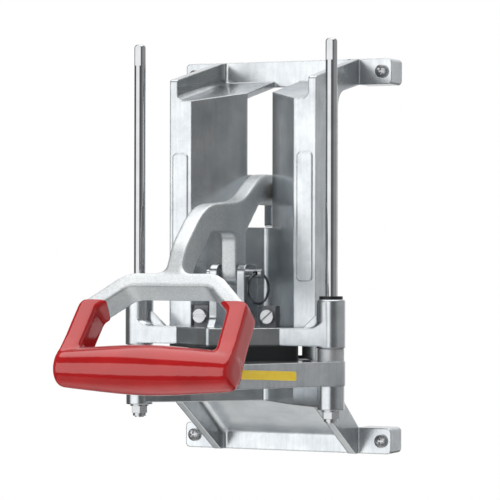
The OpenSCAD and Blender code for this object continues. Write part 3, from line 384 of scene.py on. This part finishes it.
def gripLoop(look):
    # the D-shaped loop with rounded edges, flat at first, then laid on the handle's plane
    curve = bpy.data.curves.new("gripLoop", "CURVE")
    curve.dimensions = "2D"
    curve.fill_mode = "BOTH"
    for outline in (dippedOutline(look["outer"], look["dip"]), dippedOutline(look["window"], -look["dip"])):
        spline = curve.splines.new("POLY")
        spline.points.add(len(outline) - 1)
        for point, place in zip(spline.points, outline):
            point.co = (place.x * mm, place.y * mm, 0, 1)
        spline.use_cyclic_u = True
    curve.bevel_depth = look["edge"] * mm
    curve.bevel_resolution = look["edgeSteps"]
    curve.extrude = (look["depth"] / 2 + look["dip"] - look["edge"]) * mm
    curve.offset = -look["edge"] * mm
    loop = bpy.data.objects.new("gripLoop", curve)
    bpy.context.scene.collection.objects.link(loop)
    graph = bpy.context.evaluated_depsgraph_get()
    mesh = bpy.data.meshes.new_from_object(loop.evaluated_get(graph))
    bpy.data.objects.remove(loop)
    skin = bmesh.new()
    skin.from_mesh(mesh)
    for v in skin.verts:
        v.co = handlePoint(v.co.x / mm, v.co.y / mm, look["depth"] / 2 - v.co.z / mm)
    return mesh, skin


def barRadius(x, look):
    # tapers straight from the middle to the ends, with a soft crest and rounded ends
    blend, endRound = look["barBlend"], look["endRound"]
    soft = math.sqrt(x * x + blend ** 2) - blend
    full = math.sqrt(look["barHalf"] ** 2 + blend ** 2) - blend
    past = max(0.0, abs(x) - look["barHalf"] + endRound)
    radius = look["barMiddle"] + (look["barEnd"] - look["barMiddle"]) * soft / full
    return radius + math.sqrt(endRound ** 2 - min(past, endRound) ** 2) - endRound


def addBar(skin, look):
    # rings from end to end, joined up and closed
    rings = []
    stations, around = look["barStations"], look["barAround"]
    for i in range(stations + 1):
        x = look["barHalf"] * (2 * i / stations - 1)
        radius = barRadius(x, look)
        ring = []
        for k in range(around):
            a = 2 * math.pi * k / around
            q = -look["barRun"] + radius * math.sin(a)
            ring.append(skin.verts.new(handlePoint(x, q, look["depth"] / 2 + radius * math.cos(a))))
        rings.append(ring)
    for one, two in zip(rings, rings[1:]):
        for k in range(around):
            j = (k + 1) % around
            skin.faces.new((one[k], one[j], two[j], two[k]))
    skin.faces.new(rings[0])
    skin.faces.new(list(reversed(rings[-1])))


def addFlares(skin, look):
    # each leg thickens into the end of the bar
    ease = look["flareEase"]
    top = (look["flareRun"], look["flareDeep"], look["flareStart"])
    bottom = (look["barRun"], look["barEnd"] - ease, look["barHalf"] - ease)
    for side in (-1, 1):
        ends = []
        for run, deep, outer in (top, bottom):
            for u in (look["barHalf"] - look["flareIn"], outer):
                for t in (-deep, deep):
                    ends.append(skin.verts.new(handlePoint(side * u, -run, look["depth"] / 2 + t)))
        bmesh.ops.convex_hull(skin, input=ends)


def endDip(piece, look):
    # the dip ends on a line across the handle, which leans down a little towards the back
    onLine = handlePoint(0, -look["dipRun"], 0)
    lean = math.tan(math.radians(look["dipLean"]))
    acrossLine = (handlePoint(0, 1, lean) - handlePoint(0, 0, 0)).normalized()
    skin = bmesh.new()
    skin.from_mesh(piece.data)
    cut = bmesh.ops.bisect_plane(
        skin, geom=skin.verts[:] + skin.edges[:] + skin.faces[:],
        plane_co=onLine, plane_no=acrossLine, clear_outer=True)
    rim = [e for e in cut["geom_cut"] if isinstance(e, bmesh.types.BMEdge)]
    bmesh.ops.holes_fill(skin, edges=rim)
    skin.to_mesh(piece.data)
    skin.free()
    smoothShaded(piece.data)


def gripDip(look=handle):
    # loop, bar and flares melt into one skin, cut off where the dip ends
    mesh, skin = gripLoop(look)
    addBar(skin, look)
    addFlares(skin, look)
    bmesh.ops.recalc_face_normals(skin, faces=skin.faces)
    skin.to_mesh(mesh)
    skin.free()
    piece = remeshed(newObject("gripDip", mesh, redDip), look["voxelMm"], look["rub"])
    endDip(piece, look)
    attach(piece, "lever")
    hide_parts("grip_sleeve")
    return piece


gripPiece = gripDip()
# the bright metal around it shows no red in the photograph
gripPiece.visible_glossy = False
print("grip dipped:", len(gripPiece.data.polygons), "faces")

lever = {"voxelMm": 1.0, "rub": 16}


def leverCasting(look=lever):
    # the CAD lever with its sharp edges rubbed off
    shape = nodes["lever_arm"].data.copy()
    piece = remeshed(newObject("leverCasting", shape, leverSkin), look["voxelMm"], look["rub"])
    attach(piece, "lever")
    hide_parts("lever_arm")
    return piece


leverPiece = leverCasting()
print("lever cast:", len(leverPiece.data.polygons), "faces")

strip = {
    # the slanted right face of the blade frame, from the rod beside it, and the strip's place there, in mm
    "rod": (90.7, -136.0), "ear": 12.25, "slant": 30.0,
    "start": 45.0, "end": 101.0, "low": -101.5, "high": -93.9, "askew": 2.8,
    "thick": 0.25, "corner": 1.0, "cornerSteps": 4,
}


def blankStrip(look=strip):
    # a plain strip on the slanted face of the blade frame, with nothing on it
    slant = math.radians(look["slant"])
    out = Vector((math.cos(slant), -math.sin(slant)))
    along = Vector((-math.sin(slant), -math.cos(slant)))
    foot = Vector(look["rod"]) + out * look["ear"]
    start, end, low, high = (look[key] for key in ("start", "end", "low", "high"))
    places = ((start, low), (end, low), (end, high), (start, high))
    corners = rounded([(x, z, look["corner"]) for x, z in places], look["cornerSteps"])
    # it is stuck on a little askew, lower towards the rod
    rise = math.tan(math.radians(look["askew"]))
    middle = (start + end) / 2
    skin = bmesh.new()
    front, back = [], []
    for c in corners:
        for side, shelf in ((look["thick"], front), (-look["thick"], back)):
            p = foot + along * c.x + out * side
            shelf.append(skin.verts.new((p.x * mm, p.y * mm, (c.y + rise * (c.x - middle)) * mm)))
    skin.faces.new(front)
    skin.faces.new(list(reversed(back)))
    for k in range(len(front)):
        j = (k + 1) % len(front)
        skin.faces.new((front[k], back[k], back[j], front[j]))
    bmesh.ops.recalc_face_normals(skin, faces=skin.faces)
    mesh = bpy.data.meshes.new("blankStrip")
    skin.to_mesh(mesh)
    skin.free()
    piece = newObject("blankStrip", mesh, yellowVinyl)
    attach(piece, "frame")
    return piece


stripPiece = blankStrip()
print("strip placed:", len(stripPiece.data.polygons), "faces")

# floor, light and camera

floorLook = {
    # colour is the board; rim and the pool's radii paint a pool of light that only glossy skins see
    "z": -1.2, "half": 1.5, "colour": "#efefee", "rim": "#8c8c8b", "paintedLightPool": (0.50, 1.15), "rough": 0.8,
}


def paintedFloor(look=floorLook):
    # painted board: pale and dull; in glossy reflections it carries a painted pool of light, palest under
    # the part and falling off to a painted darker rim
    finish, tree = material("Pale floor, painted")
    where = add(tree, "ShaderNodeTexCoord").outputs["Object"]
    level = add(tree, "ShaderNodeVectorMath", {0: where, 1: (1, 1, 0)}, operation="MULTIPLY")
    away = add(tree, "ShaderNodeVectorMath", {0: level.outputs["Vector"]}, operation="LENGTH")
    # the painted pool of light fades to the darker rim between these distances from the middle
    paintedFalloff = add(tree, "ShaderNodeMapRange", {
        "Value": away.outputs["Value"], "From Min": look["paintedLightPool"][0], "From Max": look["paintedLightPool"][1]},
        interpolation_type="SMOOTHSTEP")
    inGloss = add(tree, "ShaderNodeMath", {
        0: paintedFalloff.outputs["Result"], 1: add(tree, "ShaderNodeLightPath").outputs["Is Glossy Ray"]},
        operation="MULTIPLY")
    tone = add(tree, "ShaderNodeMix", {
        "Factor": inGloss.outputs["Value"], 6: linear(look["colour"]), 7: linear(look["rim"])},
        data_type="RGBA")
    shader = add(tree, "ShaderNodeBsdfPrincipled", {
        "Base Color": tone.outputs[2], "Roughness": look["rough"]})
    add(tree, "ShaderNodeOutputMaterial", {"Surface": shader.outputs["BSDF"]})
    h, z = look["half"], look["z"]
    mesh = bpy.data.meshes.new("floor")
    mesh.from_pydata([(-h, -h, z), (h, -h, z), (h, h, z), (-h, h, z)], [], [(0, 1, 2, 3)])
    floor = newObject("floor", mesh, finish)


studio = {
    # light of the walls by compass angle, in degrees from straight in front, positive to the right:
    # one wide softbox stands on the left
    "around": [
        (-180, 0.56), (-150, 0.50), (-118, 0.07), (-64, 0.07), (-50, 0.81), (8, 0.81), (22, 0.06),
        (56, 0.10), (84, 0.23), (150, 0.24), (180, 0.54)],
    # the dark gap over the walls is in front only
    "gapAround": [(-180, 0), (-140, 0), (-110, 1), (90, 1), (130, 0), (180, 0)],
    # by height: a dark cove above the floor, the walls, a dark gap, then the ceiling light
    "cove": (-0.36, -0.29), "wallEnd": (0.40, 0.47), "ceilingStart": (0.73, 0.79),
    "gap": 0.04, "ceiling": 1.0, "strength": 1.85, "backdrop": "#ffffff",
}


def studioWorld(look=studio):
    # the room by direction, as the shiny metal sees it
    world = bpy.data.worlds.new("Studio")
    bpy.context.scene.world = world
    world.use_nodes = True
    tree = world.node_tree
    tree.nodes.clear()
    direction = add(tree, "ShaderNodeTexCoord").outputs["Generated"]
    split = add(tree, "ShaderNodeSeparateXYZ", {"Vector": direction})
    front = add(tree, "ShaderNodeMath", {0: split.outputs["Y"], 1: -1.0}, operation="MULTIPLY")
    compass = add(tree, "ShaderNodeMath", {
        0: split.outputs["X"], 1: front.outputs["Value"]}, operation="ARCTAN2")
    turn = add(tree, "ShaderNodeMapRange", {
        "Value": compass.outputs["Value"], "From Min": -math.pi, "From Max": math.pi})
    side, gapSide = (
        add(tree, "ShaderNodeValToRGB", {"Fac": turn.outputs["Result"]}, [
            ((angle + 180) / 360, tone) for angle, tone in look[key]])
        for key in ("around", "gapAround"))
    pastWall, atCeiling, aboveCove = (
        add(tree, "ShaderNodeMapRange", {
            "Value": split.outputs["Z"], "From Min": look[key][0], "From Max": look[key][1]},
            interpolation_type="SMOOTHSTEP")
        for key in ("wallEnd", "ceilingStart", "cove"))
    dark, bright = ([look[key]] * 3 + [1] for key in ("gap", "ceiling"))
    inGap = add(tree, "ShaderNodeMath", {
        0: pastWall.outputs["Result"], 1: gapSide.outputs["Color"]}, operation="MULTIPLY")
    walls = add(tree, "ShaderNodeMix", {
        "Factor": inGap.outputs["Value"], 6: side.outputs["Color"], 7: dark}, data_type="RGBA")
    lit = add(tree, "ShaderNodeMix", {
        "Factor": atCeiling.outputs["Result"], 6: walls.outputs[2], 7: bright}, data_type="RGBA")
    whole = add(tree, "ShaderNodeMix", {
        "Factor": aboveCove.outputs["Result"], 6: dark, 7: lit.outputs[2]}, data_type="RGBA")
    glow = add(tree, "ShaderNodeBackground", {"Color": whole.outputs[2], "Strength": look["strength"]})
    # the photograph is cut out on white, so the camera sees a plain backdrop
    plain = add(tree, "ShaderNodeBackground", {"Color": linear(look["backdrop"]), "Strength": 1.0})
    seen = add(tree, "ShaderNodeLightPath")
    backdrop = add(tree, "ShaderNodeMixShader", {
        0: seen.outputs["Is Camera Ray"], 1: glow.outputs["Background"], 2: plain.outputs["Background"]})
    add(tree, "ShaderNodeOutputWorld", {"Surface": backdrop.outputs["Shader"]})


paintedFloor()
studioWorld()
print("floor and walls set")

lamps = {
    # name: place, aim, width, height, watts
    "frontSoftbox": ((-1.1, -1.9, 0.9), (0, -0.12, 0.0), 1.0, 1.0, 4.5),
    "rightFill": ((0.85, -1.9, 0.2), (0, -0.2, -0.08), 0.8, 0.8, 5.5),
}
for name, (place, aim, width, height, watts) in lamps.items():
    light = bpy.data.lights.new(name, "AREA")
    light.shape = "RECTANGLE"
    light.size, light.size_y, light.energy = width, height, watts
    lamp = bpy.data.objects.new(name, light)
    lamp.location = place
    # the walls give the metal its reflections, the lamps only fill the plastics
    lamp.visible_glossy = False
    lamp.rotation_euler = (Vector(aim) - Vector(place)).to_track_quat("-Z", "Y").to_euler()
    bpy.context.scene.collection.objects.link(lamp)
print("lamps set:", len(lamps))

shot = {
    # camera fitted to the photograph: place in metres, its axes, and the lens
    "place": (0.94283, -2.12047, 0.00789),
    "right": (0.905943, 0.423395, 0.001988),
    "up": (-0.002304, 0.000233, 0.999997),
    "back": (0.423393, -0.905945, 0.001187),
    "lens": 184.66, "sensor": 36.0,
}
lens = bpy.data.cameras.new("shot")
lens.lens, lens.sensor_width, lens.sensor_fit = shot["lens"], shot["sensor"], "HORIZONTAL"
camera = bpy.data.objects.new("shot", lens)
axes = Matrix((shot["right"], shot["up"], shot["back"])).transposed().to_4x4()
camera.matrix_world = Matrix.Translation(shot["place"]) @ axes
bpy.context.scene.collection.objects.link(camera)
bpy.context.scene.camera = camera
bpy.context.scene.view_settings.view_transform = "Standard"
bpy.context.scene.view_settings.look = "None"
print("camera set")
